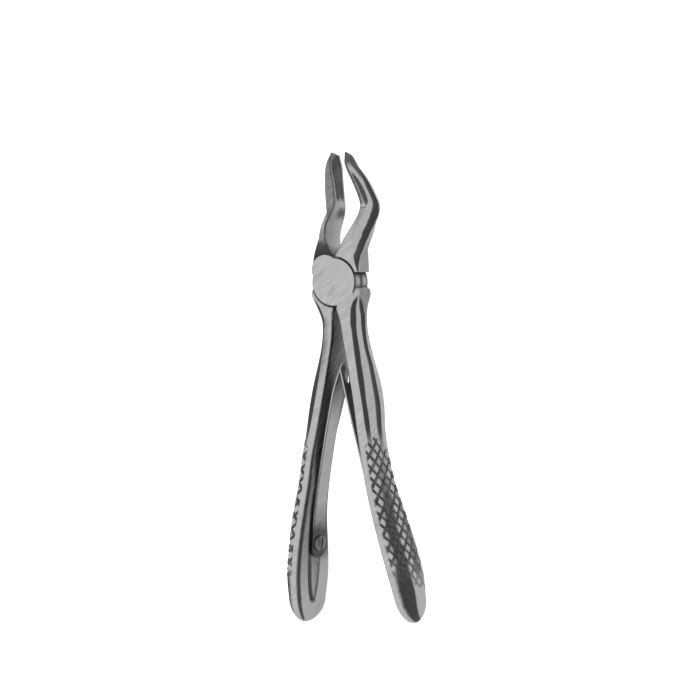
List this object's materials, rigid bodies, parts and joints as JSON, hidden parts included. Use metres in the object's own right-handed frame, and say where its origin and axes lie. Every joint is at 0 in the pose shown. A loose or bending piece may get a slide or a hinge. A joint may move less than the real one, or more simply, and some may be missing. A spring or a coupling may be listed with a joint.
{
  "type": "extraction forceps",
  "caption": "Small upper-molar extraction forceps with a screwed lap joint, bent hollow beaks, bowed handles and leaf springs that hold it open.",
  "frame": {"origin": "on the pivot axis, at the middle of the joint's front face", "axes": "+Z out of the joint's front face along the pivot axis, +Y towards the beak tips, +X to the right as seen from the front"},
  "size_m": [0.0388, 0.1297, 0.0176],
  "materials": {
    "forged_steel": "satin ground stainless steel, dark in its hollows",
    "spring_steel": "bright rolled strip",
    "screw_steel": "turned and lightly polished"
  },
  "bodies": {
    "front_half": {"front_half": "forged_steel", "pivot_screw": "screw_steel", "right_spring_screw": "screw_steel"},
    "rear_half": {"rear_half": "forged_steel", "left_spring_screw": "screw_steel"},
    "right_spring": {"right_spring": "spring_steel"},
    "left_spring": {"left_spring": "spring_steel"}
  },
  "joints": [
    {"name": "jaw_pivot", "type": "hinge", "parent": "front_half", "child": "rear_half", "pos_m": [0, 0, -0.0039], "axis": [0, 0, -1], "range_deg": [-5, 28], "stiffness_Nm_per_rad": 3},
    {"name": "right_spring_flex", "type": "hinge", "parent": "front_half", "child": "right_spring", "pos_m": [0.01, -0.0685, -0.0076], "axis": [0, 0, -1], "range_deg": [-8, 2], "deforming": ["right_spring"]},
    {"name": "left_spring_flex", "type": "hinge", "parent": "rear_half", "child": "left_spring", "pos_m": [-0.01, -0.0685, -0.0076], "axis": [0, 0, -1], "range_deg": [-2, 8], "deforming": ["left_spring"]}
  ],
  "couplings": [
    {"joint": "right_spring_flex", "follows": "jaw_pivot", "ratio": -0.25},
    {"joint": "left_spring_flex", "follows": "jaw_pivot", "ratio": 0.25}
  ]
}
